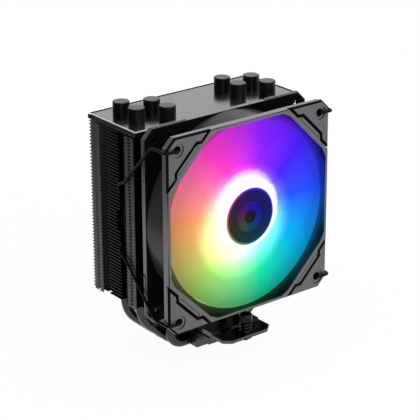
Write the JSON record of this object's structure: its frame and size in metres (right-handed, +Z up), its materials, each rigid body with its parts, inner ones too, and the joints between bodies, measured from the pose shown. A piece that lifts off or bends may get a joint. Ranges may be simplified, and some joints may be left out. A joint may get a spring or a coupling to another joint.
{
  "type": "cpu tower cooler",
  "caption": "Tower heatsink for a processor with U-bent heat pipes, folded fins, a lit axial fan on wire clips and sprung mounting screws.",
  "frame": {"origin": "middle of the base plate's contact face", "axes": "+Z up through the fins, -Y towards the fan, X along the heat pipes in the base"},
  "size_m": [0.124, 0.1055, 0.156],
  "materials": {
    "base_alloy": "milled",
    "black_alloy": "satin black",
    "black_steel": "black nickel",
    "gloss_black_steel": "gloss black nickel",
    "plain_steel": "bright",
    "wire_steel": "black spring steel",
    "fin_coating": "black coated",
    "brushed_top": "brushed dark grey",
    "black_nickel_pipe": "gloss black nickel",
    "cap_metal": "black, turned top",
    "frame_plastic": "moulded",
    "pad_rubber": "matt",
    "lit_plastic": "milky, lit from inside",
    "dark_plastic": "satin",
    "magnet": "bonded ferrite",
    "white_plastic": "moulded",
    "bronze": "sintered",
    "copper_wire": "enamelled",
    "board": "lacquered",
    "lamp": "clear"
  },
  "bodies": {
    "root": {"base_plate": "base_alloy", "clamp_block": "black_alloy", "mounting_bracket": "black_steel", "bracket_cover": "gloss_black_steel", "bracket_screws": "plain_steel", "heat_pipe_1": "black_nickel_pipe", "heat_pipe_2": "black_nickel_pipe", "heat_pipe_3": "black_nickel_pipe", "heat_pipe_4": "black_nickel_pipe", "cooling_fins": "fin_coating", "top_plate": "brushed_top", "pipe_cap_1": "cap_metal", "pipe_cap_2": "cap_metal", "pipe_cap_3": "cap_metal", "pipe_cap_4": "cap_metal", "pipe_cap_5": "cap_metal", "pipe_cap_6": "cap_metal", "pipe_cap_7": "cap_metal", "pipe_cap_8": "cap_metal", "fan_frame": "frame_plastic", "front_pad_bottom_right": "pad_rubber", "front_pad_bottom_left": "pad_rubber", "front_pad_top_left": "pad_rubber", "front_pad_top_right": "pad_rubber", "rear_pad_bottom_right": "pad_rubber", "rear_pad_bottom_left": "pad_rubber", "rear_pad_top_left": "pad_rubber", "rear_pad_top_right": "pad_rubber", "fan_bearing": "bronze", "stator_core": "plain_steel", "stator_coils": "copper_wire", "fan_circuit_board": "board", "fan_lamps": "lamp", "front_screw_spring": "wire_steel", "rear_screw_spring": "wire_steel"},
    "fan_rotor": {"impeller": "lit_plastic", "hub_cap": "dark_plastic", "rotor_yoke": "plain_steel", "rotor_magnet": "magnet", "fan_shaft": "plain_steel", "shaft_clip": "white_plastic"},
    "left_clip": {"left_wire_clip": "wire_steel"},
    "right_clip": {"right_wire_clip": "wire_steel"},
    "front_screw_carrier": {"front_screw_keeper": "black_steel"},
    "front_screw": {"front_mount_screw": "black_steel"},
    "rear_screw_carrier": {"rear_screw_keeper": "black_steel"},
    "rear_screw": {"rear_mount_screw": "black_steel"}
  },
  "joints": [
    {"name": "fan_spin", "type": "hinge", "parent": "root", "child": "fan_rotor", "pos_m": [0, -0.0516, 0.092], "axis": [0, 1, 0], "continuous": true},
    {"name": "left_clip_swing", "type": "hinge", "parent": "root", "child": "left_clip", "pos_m": [-0.0525, -0.05295, 0.092], "axis": [0, 0, 1], "range_deg": [0, 12], "stiffness_Nm_per_rad": 0.02, "springref_deg": -11.46},
    {"name": "right_clip_swing", "type": "hinge", "parent": "root", "child": "right_clip", "pos_m": [0.0525, -0.05295, 0.092], "axis": [0, 0, -1], "range_deg": [0, 12], "stiffness_Nm_per_rad": 0.02, "springref_deg": -11.46},
    {"name": "front_screw_press", "type": "slide", "parent": "root", "child": "front_screw_carrier", "axis": [0, 0, -1], "range_m": [0, 0.0034], "stiffness_N_per_m": 500, "springref_m": -0.006, "deforming": ["front_screw_spring"]},
    {"name": "front_screw_turn", "type": "hinge", "parent": "front_screw_carrier", "child": "front_screw", "pos_m": [0, -0.0475, 0.02], "axis": [0, 0, -1], "continuous": true},
    {"name": "rear_screw_press", "type": "slide", "parent": "root", "child": "rear_screw_carrier", "axis": [0, 0, -1], "range_m": [0, 0.0034], "stiffness_N_per_m": 500, "springref_m": -0.006, "deforming": ["rear_screw_spring"]},
    {"name": "rear_screw_turn", "type": "hinge", "parent": "rear_screw_carrier", "child": "rear_screw", "pos_m": [0, 0.0475, 0.02], "axis": [0, 0, -1], "continuous": true}
  ]
}
